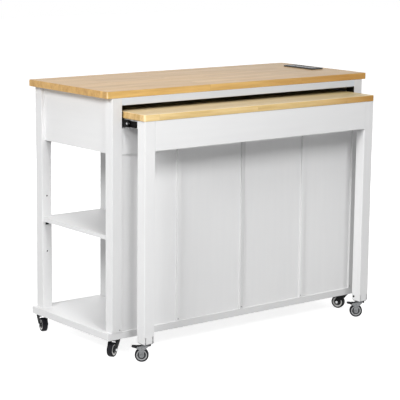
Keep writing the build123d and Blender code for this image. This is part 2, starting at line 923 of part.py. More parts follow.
def leaf_screws():
    """The table's screws: in the slides, in the feet of its legs and in its caster plates."""
    head = rod(screw_head_radius, leg_inner - inner_web[0], leg_inner - inner_web[0] + slide_sheet, "x")
    screws = [Pos(0, y, slide_middle_z) * head for y in slide_screw_places()]
    foot = rod(foot_screw_radius, foot_screw_sink, foot_screw_depth, "x")
    screws.append(leaf_foot_screw_place(1) * foot)
    return group(both_ends(group(*screws)), plate_screws(leaf_casters, leaf_caster_height, leaf_plate_size))


def island():
    """Every node of the island, by name."""
    nodes = {
        "main_top": main_top(),
        "leg_near_left": drilled(near_leg(-1), "leg_near_left"),
        "leg_near_right": drilled(near_leg(1), "leg_near_right"),
        "leg_far_left": drilled(leg(-1, far_leg_near_y), "leg_far_left"),
        "leg_far_right": drilled(leg(1, far_leg_near_y), "leg_far_right"),
        "bottom_board": bottom_board(),
        "apron_left": side_apron(-1),
        "apron_right": side_apron(1),
        "apron_far": apron_far(),
        "slot_rail_upper": slot_rail_upper(),
        "slot_rail_lower": slot_rail_lower(),
        "bay_floor": bay_floor(),
        "runner_boards": runner_boards(),
        "partition_left": drilled(
            partition(-partition_outer, -cabinet_half_width, door_front), "partition_left"
        ),
        "partition_centre": drilled(
            partition(-centre_half, centre_half, door_back - door_stop_gap), "partition_centre"
        ),
        "partition_right": drilled(
            partition(cabinet_half_width, partition_outer, door_front), "partition_right"
        ),
        "back_panels": back_panels(),
        "side_shelf_left": side_shelf(-1),
        "side_shelf_right": side_shelf(1),
        "cabinet_shelves": cabinet_shelves(),
        "shelf_pins": shelf_pins(),
        "cabinet_screws": cabinet_screws(),
        "hinge_plates": hinge_plates(),
        "door_catches": door_catches(),
        "outlet_housing": outlet_housing(),
        "outlet_faceplate": outlet_faceplate(),
        "slide_outer_members": slide_outer_members(),
        "slide_middle_members": slide_middle_members(),
        "slide_inner_members": slide_inner_members(),
        "leaf_top": leaf_top(),
        "leaf_leg_left": leaf_leg(-1),
        "leaf_leg_right": leaf_leg(1),
        "leaf_apron": leaf_apron(),
        "leaf_side_rails": leaf_side_rails(),
        "leaf_rear_rail": leaf_rear_rail(),
        "leaf_screws": leaf_screws(),
        "caster_plates_main": plates(main_casters, main_caster_height, main_plate_size),
        "caster_screws_main": plate_screws(main_casters, main_caster_height, main_plate_size),
        "caster_plates_leaf": plates(leaf_casters, leaf_caster_height, leaf_plate_size),
    }
    doors = {"door_left": door_left(), "door_left_handle": door_left_handle()}
    doors["door_left_hinges"] = door_left_hinges()
    for name, shape in doors.items():
        nodes[name] = shape
        nodes[name.replace("left", "right")] = group(mirror(shape, about=Plane.YZ))
    main_radius = main_wheel_diameter / 2
    main_fork = group(
        fork(main_caster_height, main_hub_width, main_radius, main_trail, main_arm()),
        axle(main_hub_width, main_radius, main_trail),
    )
    main_wheel = wheel(main_radius, main_wheel_width, main_hub_width, main_trail)
    for name, place in main_casters.items():
        nodes[f"caster_fork_{name}"] = placed(place, main_fork)
        nodes[f"caster_wheel_{name}"] = placed(place, main_wheel)
    leaf_radius = leaf_wheel_diameter / 2
    braked_fork = group(leaf_fork(), axle(leaf_hub_width, leaf_radius, leaf_trail))
    leaf_wheel = wheel(leaf_radius, leaf_wheel_width, leaf_hub_width, leaf_trail)
    for name, place in leaf_casters.items():
        nodes[f"caster_fork_{name}"] = placed(place, braked_fork)
        nodes[f"caster_wheel_{name}"] = placed(place, leaf_wheel)
        nodes[f"brake_pedal_{name}"] = placed(place, brake_pedal())
    return nodes


def export(nodes):
    os.makedirs("parts", exist_ok=True)
    for name, shape in nodes.items():
        export_step(Pos(0, -middle_y, 0) * shape, f"parts/{name}.step")


export(island())
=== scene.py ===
from math import hypot, pi, radians

import bmesh
import bpy
from mathutils import Matrix, Vector


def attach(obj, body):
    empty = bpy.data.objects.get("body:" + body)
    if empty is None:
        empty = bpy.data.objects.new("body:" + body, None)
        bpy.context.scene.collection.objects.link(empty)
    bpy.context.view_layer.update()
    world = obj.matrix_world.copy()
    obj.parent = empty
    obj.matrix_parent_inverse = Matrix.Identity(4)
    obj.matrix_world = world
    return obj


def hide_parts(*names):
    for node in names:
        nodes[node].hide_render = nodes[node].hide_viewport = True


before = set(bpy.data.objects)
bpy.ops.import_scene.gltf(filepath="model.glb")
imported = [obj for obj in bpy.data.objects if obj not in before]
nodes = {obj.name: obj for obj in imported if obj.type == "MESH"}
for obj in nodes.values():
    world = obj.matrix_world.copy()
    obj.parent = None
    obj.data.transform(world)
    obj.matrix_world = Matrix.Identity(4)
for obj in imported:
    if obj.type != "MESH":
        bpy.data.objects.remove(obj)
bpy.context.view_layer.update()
bpy.ops.object.select_all(action="DESELECT")

# A kitchen island with a pull-out table, in metres. X runs along the worktop and +Y points to the doors.
WORKTOP_HEIGHT = 0.92
SLIDE_HEIGHT = 0.8125

# The paint's tones, and the near black painted shade in the legs' pin holes and in the bay behind the table
THIN_PAINT = (0.815, 0.816, 0.82)
FULL_PAINT = (0.85, 0.85, 0.85)
BAY_PAINTED_SHADE = (0.006, 0.0058, 0.0055)
BAY_BOTTOM = 0.7085
BAY_END = 0.545
PIN_HOLE_X = 0.559
PIN_HOLE_RADIUS = 0.0034
LEG_INNER_X = 0.5394
LEG_MIDDLES_Y = (-0.172, 0.263)
LEG_HALF_INSIDE = 0.0194


# Finishes. Each reads Object coordinates, so a pattern has its real size on every piece.
def start_finish(name):
    """A new finish: its material, node tree, shader and object coordinates."""
    finish = bpy.data.materials.new(name)
    finish.use_nodes = True
    tree = finish.node_tree
    place = tree.nodes.new("ShaderNodeTexCoord").outputs["Object"]
    return finish, tree, tree.nodes["Principled BSDF"], place


def moved(tree, place, stretch=(1, 1, 1), shift=(0, 0, 0)):
    """Coordinates stretched and shifted for one pattern."""
    mapping = tree.nodes.new("ShaderNodeMapping")
    mapping.inputs["Scale"].default_value = stretch
    mapping.inputs["Location"].default_value = shift
    tree.links.new(place, mapping.inputs["Vector"])
    return mapping.outputs["Vector"]


def grain(tree, place, scale=1.0, detail=3.0, rough=0.5):
    """Soft noise with so many features to the metre."""
    texture = tree.nodes.new("ShaderNodeTexNoise")
    texture.inputs["Scale"].default_value = scale
    texture.inputs["Detail"].default_value = detail
    texture.inputs["Roughness"].default_value = rough
    tree.links.new(place, texture.inputs["Vector"])
    return texture.outputs["Fac"]


def spread(tree, value, low, high, start=0.25, end=0.75):
    """A value's range from start to end moved to low and high."""
    mapped = tree.nodes.new("ShaderNodeMapRange")
    mapped.inputs["From Min"].default_value = start
    mapped.inputs["From Max"].default_value = end
    mapped.inputs["To Min"].default_value = low
    mapped.inputs["To Max"].default_value = high
    tree.links.new(value, mapped.inputs["Value"])
    return mapped.outputs["Result"]


def under(tree, value, limit, fade=0.0003):
    """One where a value is under a limit and nought where it is over, with a short fade between."""
    return spread(tree, value, low=1.0, high=0.0, start=limit, end=limit + fade)


def over(tree, value, limit, fade=0.0003):
    """Nought where a value is under a limit and one where it is over, with a short fade between."""
    return spread(tree, value, low=0.0, high=1.0, start=limit, end=limit + fade)


def maths(tree, operation, first, second=0.0):
    """Two values added, multiplied or compared, either of them a plain number."""
    node = tree.nodes.new("ShaderNodeMath")
    node.operation = operation
    for value, socket in ((first, node.inputs[0]), (second, node.inputs[1])):
        if isinstance(value, (int, float)):
            socket.default_value = value
        else:
            tree.links.new(value, socket)
    return node.outputs["Value"]


def weighed(tree, first, share, second):
    """Two values added, the first by its share and the second by the rest."""
    rest = maths(tree, "MULTIPLY", second, 1 - share)
    return maths(tree, "ADD", maths(tree, "MULTIPLY", first, share), rest)


def distance(tree, value, place):
    """How far a value is from a place, either way."""
    return maths(tree, "ABSOLUTE", maths(tree, "SUBTRACT", value, place))


def colours(tree, value, *stops):
    """A colour ramp through (place, colour) stops."""
    ramp = tree.nodes.new("ShaderNodeValToRGB")
    while len(ramp.color_ramp.elements) < len(stops):
        ramp.color_ramp.elements.new(1.0)
    for element, (at, colour) in zip(ramp.color_ramp.elements, stops):
        element.position = at
        element.color = (*colour, 1)
    tree.links.new(value, ramp.inputs["Fac"])
    return ramp.outputs["Color"]


def tint(tree, kind, amount, first, second):
    """Two colours mixed, multiplied or screened by an amount."""
    mix = tree.nodes.new("ShaderNodeMix")
    mix.data_type = "RGBA"
    mix.blend_type = kind
    for value, socket in ((amount, mix.inputs[0]), (first, mix.inputs[6]), (second, mix.inputs[7])):
        if isinstance(value, (int, float)):
            socket.default_value = value
        elif isinstance(value, tuple):
            socket.default_value = (*value, 1)
        else:
            tree.links.new(value, socket)
    return mix.outputs[2]


def toned(colour, share):
    """A colour made lighter or darker by a share."""
    return tuple(share * value for value in colour)


def raise_surface(tree, shader, height, strength, depth):
    """Bump from a height, with its depth in metres."""
    bump = tree.nodes.new("ShaderNodeBump")
    bump.inputs["Strength"].default_value = strength
    bump.inputs["Distance"].default_value = depth
    tree.links.new(height, bump.inputs["Height"])
    tree.links.new(bump.outputs["Normal"], shader.inputs["Normal"])


def axis_of(tree, vector, axis):
    """One coordinate of a vector."""
    parts = tree.nodes.new("ShaderNodeSeparateXYZ")
    tree.links.new(vector, parts.inputs["Vector"])
    return parts.outputs[axis]


def normal_along(tree, axis):
    """How far a face looks along an axis, from one to minus one."""
    return axis_of(tree, tree.nodes.new("ShaderNodeTexCoord").outputs["Normal"], axis)


def facing(tree, axis):
    """One on faces that look along an axis, either way, and nought on the others."""
    return over(tree, maths(tree, "ABSOLUTE", normal_along(tree, axis)), 0.3, fade=0.5)


def facing_back(tree, axis, fade):
    """One on faces that look against an axis, and nought on the others."""
    return under(tree, normal_along(tree, axis), -0.9, fade)


def bay_roof_shade(tree, place):
    """One on the underside over the table's bay, where the painted shade goes, and nought elsewhere."""
    out = maths(tree, "ABSOLUTE", axis_of(tree, place, "X"))
    return maths(tree, "MULTIPLY", facing_back(tree, "Z", 0.2), under(tree, out, BAY_END, fade=0.004))


def leg_hole_and_bay_shade(tree, place):
    """One inside the legs' pin holes and on their faces beside the bay, where the painted shade goes, and
    nought elsewhere.
    """
    out = maths(tree, "ABSOLUTE", axis_of(tree, place, "X"))
    y = axis_of(tree, place, "Y")
    depth = maths(tree, "MINIMUM", *(distance(tree, y, middle) for middle in LEG_MIDDLES_Y))
    inside = under(tree, depth, LEG_HALF_INSIDE)
    hole = maths(tree, "MULTIPLY", inside, under(tree, distance(tree, out, PIN_HOLE_X), PIN_HOLE_RADIUS))
    beside = maths(tree, "MULTIPLY", facing(tree, "X"), under(tree, out, LEG_INNER_X))
    bay = maths(tree, "MULTIPLY", inside, over(tree, axis_of(tree, place, "Z"), BAY_BOTTOM))
    return maths(tree, "MAXIMUM", hole, maths(tree, "MULTIPLY", beside, bay))


def sprayed_paint(name, stretch, shade_share=1.0, front=(1, 1, 1), shade_mask=None):
    """Satin white paint on wood, with a trace of the grain and of the spray.

    Shade share is a painted shade over the whole paint, and front a painted light and shade on the near
    faces. Shade mask gives one where a near black painted shade goes, in the pin holes and the bay."""
    finish, tree, shader, place = start_finish(name)
    cloud = grain(tree, place, scale=2.5, detail=2.0)
    streaks = grain(tree, moved(tree, place, stretch), detail=4.0)
    tone = weighed(tree, cloud, 0.5, streaks)
    # The whole paint darkened by the shade share, as painted shade
    paint = colours(tree, tone, (0.3, toned(THIN_PAINT, shade_share)), (0.7, toned(FULL_PAINT, shade_share)))
    # Painted light and shade on the near faces
    paint = tint(tree, "MULTIPLY", facing_back(tree, "Y", 0.3), paint, front)
    # Near black painted shade in the pin holes and the bay
    if shade_mask:
        paint = tint(tree, "MIX", shade_mask(tree, place), paint, BAY_PAINTED_SHADE)
    tree.links.new(paint, shader.inputs["Base Color"])
    tree.links.new(spread(tree, streaks, low=0.36, high=0.5), shader.inputs["Roughness"])
    peel = grain(tree, place, scale=420.0, detail=2.0)
    relief = maths(tree, "ADD", maths(tree, "MULTIPLY", peel, 0.6), streaks)
    raise_surface(tree, shader, relief, strength=0.12, depth=0.0004)
    return finish


def stave_wood(name, shift, face, edge, right_edge_shade, right_shade_run):
    """Lacquered wood in staves along X, with grain, pores and a tone for each stave.

    Face and edge each give the light and the dark of the grain. The edges are warmer, and the end grain
    darker. Right edge shade is a painted shade on the edges at the right end, beside a fixed painted shade
    on the top and underside there, along the X of the right shade run. The upright corners get a painted
    highlight, and the underside over the bay a near black painted shade."""
    finish, tree, shader, place = start_finish(name)
    staves = tree.nodes.new("ShaderNodeTexBrick")
    staves.offset = 0.37
    for socket, value in (
        ("Color1", (0, 0, 0, 1)),
        ("Color2", (1, 1, 1, 1)),
        ("Mortar", (0.5, 0.5, 0.5, 1)),
        ("Scale", 1.0),
        ("Mortar Size", 0.0003),
        ("Brick Width", 0.43),
        ("Row Height", 0.044),
    ):
        staves.inputs[socket].default_value = value
    tree.links.new(moved(tree, place, shift=shift), staves.inputs["Vector"])
    tone = staves.outputs["Color"]
    seam = staves.outputs["Fac"]

    # Each stave's tone also shifts its grain, so that no two staves match
    own_place = tree.nodes.new("ShaderNodeVectorMath")
    own_place.operation = "MULTIPLY_ADD"
    own_place.inputs[1].default_value = (3.1, 1.7, 2.3)
    tree.links.new(tone, own_place.inputs[0])
    tree.links.new(place, own_place.inputs[2])
    along = own_place.outputs["Vector"]
    fibre = grain(tree, moved(tree, along, (5, 110, 80), shift), detail=6.0, rough=0.62)
    band = grain(tree, moved(tree, along, (1.6, 34, 26), shift))
    pore = grain(tree, moved(tree, along, (38, 900, 700), shift), detail=2.0)
    streak = weighed(tree, fibre, 0.55, band)
    face_wood, edge_wood = (
        colours(tree, streak, (0.36, dark), (0.62, light)) for light, dark in (face, edge)
    )
    face_dark = face[1]
    flat = facing(tree, "Z")
    wood = tint(tree, "MIX", flat, edge_wood, face_wood)
    # Painted shade towards the right end, on the edges and on the top and underside
    right_end_shade = tint(tree, "MIX", flat, right_edge_shade, (0.85, 0.84, 0.70))
    start, end = right_shade_run
    shade_towards_right = spread(tree, axis_of(tree, place, "X"), low=0.0, high=1.0, start=start, end=end)
    wood = tint(tree, "MULTIPLY", shade_towards_right, wood, right_end_shade)
    wood = tint(tree, "MULTIPLY", facing(tree, "X"), wood, (0.86, 0.8, 0.74))
    # Painted highlight on the upright corners, where a face looks along both X and Y
    corner = maths(tree, "MULTIPLY", normal_along(tree, "X"), normal_along(tree, "Y"))
    corner = spread(tree, maths(tree, "ABSOLUTE", corner), low=0.0, high=0.45, start=0.2, end=0.45)
    wood = tint(tree, "SCREEN", corner, wood, (0.75, 0.68, 0.5))
    stave_tone = colours(tree, tone, (0.0, (0.90, 0.88, 0.85)), (1.0, (1.05, 1.05, 1.06)))
    wood = tint(tree, "MULTIPLY", 1.0, wood, stave_tone)
    pores = spread(tree, pore, low=0.0, high=0.45, start=0.66, end=0.8)
    wood = tint(tree, "MIX", pores, wood, toned(face_dark, 0.5))
    wood = tint(tree, "MIX", maths(tree, "MULTIPLY", seam, 0.45), wood, toned(face_dark, 0.45))
    # Near black painted shade on the underside over the bay
    wood = tint(tree, "MIX", bay_roof_shade(tree, place), wood, BAY_PAINTED_SHADE)
    tree.links.new(wood, shader.inputs["Base Color"])
    tree.links.new(spread(tree, fibre, low=0.42, high=0.3), shader.inputs["Roughness"])
    shader.inputs["Coat Weight"].default_value = 0.12
    shader.inputs["Coat Roughness"].default_value = 0.25
    relief = maths(tree, "SUBTRACT", fibre, maths(tree, "ADD", pores, seam))
    raise_surface(tree, shader, relief, strength=0.1, depth=0.0003)
    return finish


def mottled(name, low, high, rough, metallic=0.0, scale=60.0, shine=0.5):
    """A finish whose tone and gloss wander between two limits, over a fine surface texture."""
    finish, tree, shader, place = start_finish(name)
    cloud = grain(tree, place, scale, detail=4.0, rough=0.6)
    tree.links.new(colours(tree, cloud, (0.3, low), (0.7, high)), shader.inputs["Base Color"])
    tree.links.new(spread(tree, cloud, *rough), shader.inputs["Roughness"])
    shader.inputs["Metallic"].default_value = metallic
    shader.inputs["Specular IOR Level"].default_value = shine
    raise_surface(tree, shader, grain(tree, place, scale=900.0, detail=2.0), strength=0.1, depth=0.0002)
    return finish


def metal(name, low, high, rough, metallic=1.0):
    """A bare metal, with a finer mottle."""
    return mottled(name, low, high, rough, metallic, scale=220.0)


def dull(name, low, high, rough):
    """A dark finish that mirrors little."""
    return mottled(name, low, high, rough, shine=0.2)


def moulded(name, low, high, metallic):
    """The moulded rim of a hub."""
    return mottled(name, low, high, (0.45, 0.3), metallic, scale=150.0)


# How the paint's streaks are stretched on boards that stand, run along the worktop or run across it
STANDING = (60, 60, 4)
LENGTHWISE = (4, 60, 60)
CROSSWISE = (60, 4, 60)
upright_paint = sprayed_paint("white_paint_upright", STANDING)
# Near legs: painted shade on their near faces, and near black painted shade in their pin holes and beside
# the bay
near_leg_shaded_paint = sprayed_paint("white_paint_near_leg_shaded", STANDING, front=(0.86, 0.86, 0.86), shade_mask=leg_hole_and_bay_shade)
# Far legs: near black painted shade in their pin holes and beside the bay
far_leg_paint = sprayed_paint("white_paint_far_leg", STANDING, shade_mask=leg_hole_and_bay_shade)
# Side partitions: painted shade on all faces but the near ones, which painted light brings back to the
# plain tone
partition_shaded_paint = sprayed_paint("white_paint_partition_shaded", STANDING, shade_share=0.88, front=(1.14, 1.14, 1.14))
# Middle partition: painted shade all over
middle_shaded_paint = sprayed_paint("white_paint_middle_shaded", STANDING, shade_share=0.84)
lengthwise_paint = sprayed_paint("white_paint_lengthwise", LENGTHWISE)
# Bottom board and lower rail: painted shade on their near faces
low_front_shaded_paint = sprayed_paint("white_paint_low_front_shaded", LENGTHWISE, front=(0.88, 0.88, 0.88))
# Upper rail: a slightly cool painted shade on its near face
upper_rail_shaded_paint = sprayed_paint("white_paint_upper_rail_shaded", LENGTHWISE, front=(0.78, 0.83, 0.90))
crosswise_paint = sprayed_paint("white_paint_crosswise", CROSSWISE)
# Worktop: painted shade on its edges and faces towards the right end
worktop_wood = stave_wood(
    "worktop_wood",
    shift=(0, 0.21, 0),
    face=((0.64, 0.40, 0.145), (0.47, 0.262, 0.076)),
    edge=((0.80, 0.53, 0.185), (0.56, 0.32, 0.08)),
    right_edge_shade=(0.80, 0.64, 0.36),
    right_shade_run=(0.05, 0.5),
)
# Table top: face colours lighter than the worktop's as painted light, and painted shade on its edges
# towards the right end
lit_table_wood = stave_wood(
    "lit_table_wood",
    shift=(0.31, 0.327, 0),
    face=((0.98, 0.82, 0.54), (0.90, 0.70, 0.40)),
    edge=((0.93, 0.71, 0.35), (0.66, 0.44, 0.15)),
    right_edge_shade=(0.65, 0.44, 0.14),
    right_shade_run=(0.16, 0.5),
)
black_steel = dull("black_steel", (0.005, 0.005, 0.006), (0.010, 0.010, 0.011), (0.7, 0.55))
slide_steel = dull("slide_steel", (0.003, 0.003, 0.0033), (0.006, 0.006, 0.0065), (0.75, 0.6))
tyre_rubber = dull("tyre_rubber", (0.008, 0.008, 0.010), (0.015, 0.015, 0.018), (0.75, 0.55))
brake_plastic = dull("brake_plastic", (0.005, 0.005, 0.006), (0.010, 0.010, 0.011), (0.6, 0.45))
zinc_steel = metal("zinc_steel", (0.42, 0.43, 0.44), (0.62, 0.63, 0.64), (0.42, 0.26))
dull_zinc = metal("dull_zinc", (0.15, 0.155, 0.16), (0.27, 0.275, 0.28), (0.5, 0.36))
bright_zinc = metal("bright_zinc", (0.72, 0.73, 0.74), (0.86, 0.87, 0.88), (0.4, 0.25), metallic=0.6)
pale_ring = moulded("pale_ring", (0.88, 0.87, 0.84), (0.95, 0.945, 0.93), metallic=0.0)
grey_ring = moulded("grey_ring", (0.34, 0.345, 0.35), (0.46, 0.465, 0.47), metallic=0.2)
hub_web = mottled("hub_web", (0.02, 0.022, 0.024), (0.04, 0.042, 0.045), (0.6, 0.45))
outlet_plastic = mottled("outlet_plastic", (0.006, 0.006, 0.008), (0.010, 0.010, 0.012), (0.2, 0.1))
outlet_insert = mottled("outlet_insert", (0.010, 0.011, 0.013), (0.016, 0.017, 0.02), (0.34, 0.22))
# Near black painted shade on the bay's floor and runner boards
bay_shade_board = mottled("bay_shade_board", (0.005, 0.0047, 0.0045), (0.009, 0.0085, 0.008), (0.9, 0.75))


def dress(finish, *names):
    """Gives CAD nodes a finish."""
    for name in names:
        for slot in nodes[name].material_slots:
            slot.material = finish


dress(worktop_wood, "main_top")
dress(lit_table_wood, "leaf_top")
dress(near_leg_shaded_paint, "leg_near_left", "leg_near_right")
dress(far_leg_paint, "leg_far_left", "leg_far_right")
dress(upright_paint, "leaf_leg_left", "leaf_leg_right", "back_panels", "door_left", "door_right")
dress(partition_shaded_paint, "partition_left", "partition_right")
dress(middle_shaded_paint, "partition_centre")
dress(lengthwise_paint, "apron_far", "leaf_apron", "leaf_rear_rail", "cabinet_shelves")
dress(upper_rail_shaded_paint, "slot_rail_upper")
dress(low_front_shaded_paint, "bottom_board", "slot_rail_lower")
dress(crosswise_paint, "apron_left", "apron_right", "leaf_side_rails")
dress(crosswise_paint, "side_shelf_left", "side_shelf_right")
dress(bay_shade_board, "bay_floor", "runner_boards")
dress(slide_steel, "slide_outer_members", "slide_middle_members", "slide_inner_members")
dress(black_steel, "caster_plates_main", "shelf_pins", "door_left_handle", "door_right_handle")
dress(dull_zinc, "caster_plates_leaf")
dress(zinc_steel, "hinge_plates", "door_left_hinges", "door_right_hinges")
dress(brake_plastic, "door_catches")
dress(outlet_plastic, "outlet_housing")


# Modelling by hand: a primitive, then edit mode, then modifiers.
# Corners this close lie at one place, and a face whose normal is this much along an axis looks along it.
NEAR = 1e-4
STRAIGHT = 0.99


def clear_selection():
    """Selects nothing."""
    bpy.ops.object.select_all(action="DESELECT")


def settle(name):
    """Names the new primitive and puts its place and size in its mesh."""
    piece = bpy.context.object
    piece.name = name
    bpy.ops.object.transform_apply(location=True, rotation=True, scale=True)
    return piece


def new_round(name, radius, depth, middle, axis, sides):
    """A cylinder to start from, along X, Y or Z."""
    turn = {"X": (0, pi / 2, 0), "Y": (pi / 2, 0, 0), "Z": (0, 0, 0)}[axis]
    clear_selection()
    bpy.ops.mesh.primitive_cylinder_add(
        vertices=sides, radius=radius, depth=depth, location=middle, rotation=turn
    )
    return settle(name)


def new_block(name, low, high):
    """A cube to start from, between two corners."""
    clear_selection()
    middle = [(a + b) / 2 for a, b in zip(low, high)]
    size = [b - a for a, b in zip(low, high)]
    bpy.ops.mesh.primitive_cube_add(size=1, location=middle, scale=size)
    return settle(name)


def work_on(*pieces):
    """Selects these pieces alone, the first of them active."""
    clear_selection()
    for piece in pieces:
        piece.select_set(True)
    bpy.context.view_layer.objects.active = pieces[0]


def open_mesh(piece):
    """Starts edit mode on a piece."""
    work_on(piece)
    bpy.ops.object.mode_set(mode="EDIT")


def close_mesh():
    """Ends edit mode."""
    bpy.ops.object.mode_set(mode="OBJECT")


def pick(kind, test):
    """Selects the faces, edges or corners of the open mesh that pass a test."""
    bpy.ops.mesh.select_mode(type=kind)
    bpy.ops.mesh.select_all(action="DESELECT")
    data = bpy.context.object.data
    mesh = bmesh.from_edit_mesh(data)
    items = {"FACE": mesh.faces, "EDGE": mesh.edges, "VERT": mesh.verts}[kind]
    for item in items:
        if test(item):
            item.select_set(True)
    bmesh.update_edit_mesh(data)


def looks(face, axis, way=0):
    """Whether a face looks along x, y or z: up it where way is 1, down it where it is -1, or either."""
    along = getattr(face.normal, axis)
    return (way * along if way else abs(along)) > STRAIGHT


def lies_at(edge, axis, place):
    """Whether both ends of an edge lie at one place along x, y or z."""
    return all(abs(getattr(corner.co, axis) - place) < NEAR for corner in edge.verts)


def is_level(edge, axis):
    """Whether both ends of an edge are the same along x, y or z."""
    return lies_at(edge, axis, getattr(edge.verts[0].co, axis))


def shift_picked(x=0.0, y=0.0, z=0.0):
    """Moves what is selected in the open mesh."""
    bpy.ops.transform.translate(value=(x, y, z))


def round_picked(reach, steps):
    """Rounds the selected edges of the open mesh."""
    bpy.ops.mesh.bevel(offset=reach, segments=steps, affect="EDGES")


def sink_picked(margin, wall, depth):
    """Sinks the selected faces inside a margin, with a slanting wall of this width."""
    bpy.ops.mesh.inset(thickness=margin)
    bpy.ops.mesh.inset(thickness=wall, depth=-depth)


def modify(piece, kind, **settings):
    """Adds a modifier and applies it."""
    work_on(piece)
    modifier = piece.modifiers.new(kind.lower(), kind)
    for setting, value in settings.items():
        setattr(modifier, setting, value)
    bpy.ops.object.modifier_apply(modifier=modifier.name)


def ease_edges(piece, width, steps=2):
    """Rounds the sharp edges a little."""
    modify(piece, "BEVEL", width=width, segments=steps, limit_method="ANGLE", angle_limit=radians(40))


def join(name, *pieces):
    """Several pieces as one."""
    work_on(*pieces)
    bpy.ops.object.join()
    bpy.context.object.name = name
    return bpy.context.object


def smooth(piece, finish=None):
    """Faces outwards, smooth but for the sharp edges, and a finish where one is given."""
    open_mesh(piece)
    bpy.ops.mesh.select_all(action="SELECT")
    bpy.ops.mesh.remove_doubles(threshold=0.00001)
    bpy.ops.mesh.normals_make_consistent(inside=False)
    close_mesh()
    bpy.ops.object.shade_smooth_by_angle(angle=radians(35))
    if finish:
        piece.data.materials.clear()
        piece.data.materials.append(finish)
    return piece


def copy_to(pattern, name, place, turn=(0, 0, 0)):
    """A copy of a pattern with its own mesh, moved to a place and turned, in degrees about X, Y and Z."""
    work_on(pattern)
    bpy.ops.object.duplicate(linked=False)
    piece = bpy.context.object
    piece.name = name
    piece.location = place
    piece.rotation_euler = [radians(angle) for angle in turn]
    bpy.ops.object.transform_apply(location=True, rotation=True, scale=True)
    return piece


def put_away(*patterns):
    """Deletes patterns and cutters once they are used."""
    work_on(*patterns)
    bpy.ops.object.delete()


def cut_away(piece, *cutters):
    """Cuts the cutters' shapes out of a piece."""
    for cutter in cutters:
        modify(piece, "BOOLEAN", operation="DIFFERENCE", solver="EXACT", object=cutter)
    put_away(*cutters)


def finished(piece, body, slot, *replaced):
    """Declares a piece: the body it rides on and the CAD nodes it stands for, which are hidden. Slot is not
    used.
    """
    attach(piece, body)
    if replaced:
        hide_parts(*replaced)


# Casters, each kind modelled once with its swivel axis on Z and its wheel trailing along +X.
# The cabinet's kind is called main, and the table's leaf.
TYRE_WALL = 0.0055
AXLE_RADIUS = 0.003
SHEET = 0.0022
PLAY = 0.00005
RACE_RADIUS = 0.015
RACE_HEIGHT = 0.0035
WHEEL_SIDES = 72
MAIN_WHEEL = {"radius": 0.025, "width": 0.020, "trail": 0.021}
MAIN_FORK_HALF = 0.016
MAIN_FORK_TOP = 0.0566
LEAF_WHEEL = {"radius": 0.024, "width": 0.018, "trail": 0.013}
LEAF_FORK_HALF = 0.012
LEAF_FORK_TOP = 0.0596
BRAKE_BAR_X = 0.025
BRAKE_BAR_Z = 0.0519

# Where each caster's swivel stands, in X and Y, and how many degrees its wheel is turned
MAIN_CASTERS = {
    "near_left": (-0.545, -0.159, 208.0),
    "near_right": (0.545, -0.159, 116.0),
    "far_left": (-0.569, 0.270, 255.0),
    "far_right": (0.569, 0.270, 285.0),
}
LEAF_CASTERS = {"leaf_left": (-0.507, -0.2865, 141.4), "leaf_right": (0.507, -0.2865, 141.4)}


def tyre(name, radius, width, trail):
    """A tyre with round shoulders and a moulded step round each wall."""
    piece = new_round(name, radius, width, (trail, 0, radius), "Y", WHEEL_SIDES)
    open_mesh(piece)
    pick("FACE", lambda face: looks(face, "y"))
    bpy.ops.mesh.inset(thickness=TYRE_WALL)
    bpy.ops.mesh.bridge_edge_loops()

    def on_shoulder(edge):
        reach = min(hypot(corner.co.x - trail, corner.co.z - radius) for corner in edge.verts)
        return is_level(edge, "y") and reach > radius - NEAR

    pick("EDGE", on_shoulder)
    round_picked(0.0035, steps=5)
    pick("FACE", lambda face: looks(face, "y"))
    sink_picked(margin=0.0005, wall=0.0002, depth=0.0003)
    close_mesh()
    return smooth(piece, tyre_rubber)


def hub(name, radius, width, trail, boss_half, ring, ring_width):
    """A moulded hub: a rim in its own finish, a sunk dark web with six ribs, and a boss round the axle."""
    rim_radius = radius - TYRE_WALL - PLAY
    rim_half = width / 2 - 0.001
    rim_wall = 0.0007
    web_half = 0.004
    boss_radius = 0.006
    boss_wall = 0.0004
    rib_height = 0.0025
    rib_angle = radians(15)
    piece = new_round(name, rim_radius, 2 * rim_half, (trail, 0, radius), "Y", WHEEL_SIDES)
    piece.data.materials.append(ring)
    piece.data.materials.append(hub_web)
    open_mesh(piece)
    pick("FACE", lambda face: looks(face, "y"))
    sink_picked(margin=ring_width, wall=rim_wall, depth=rim_half - web_half)
    bpy.context.object.active_material_index = 1
    bpy.ops.object.material_slot_assign()
    web_width = rim_radius - ring_width - rim_wall - boss_radius
    sink_picked(margin=web_width, wall=boss_wall, depth=web_half - boss_half)
    bpy.ops.mesh.inset(thickness=boss_radius - boss_wall - AXLE_RADIUS - PLAY)
    bpy.ops.mesh.bridge_edge_loops()

    def under_rib(face):
        middle = face.calc_center_median()
        spoke = Vector((middle.x - trail, middle.z - radius))
        sixth = spoke.angle_signed(Vector((1, 0))) % (pi / 3)
        on_web = looks(face, "y") and abs(abs(middle.y) - web_half) < NEAR
        return on_web and spoke.length > boss_radius + boss_wall and sixth < rib_angle

    pick("FACE", under_rib)
    bpy.ops.mesh.extrude_region_shrink_fatten(TRANSFORM_OT_shrink_fatten={"value": rib_height})
    close_mesh()
    ease_edges(piece, 0.0003)
    return smooth(piece)


def pick_corners(x, z, reach=NEAR):
    """Selects the corners of the open mesh that lie this near to an X and Z, on both sides."""
    pick("VERT", lambda corner: hypot(corner.co.x - x, corner.co.z - z) < reach)


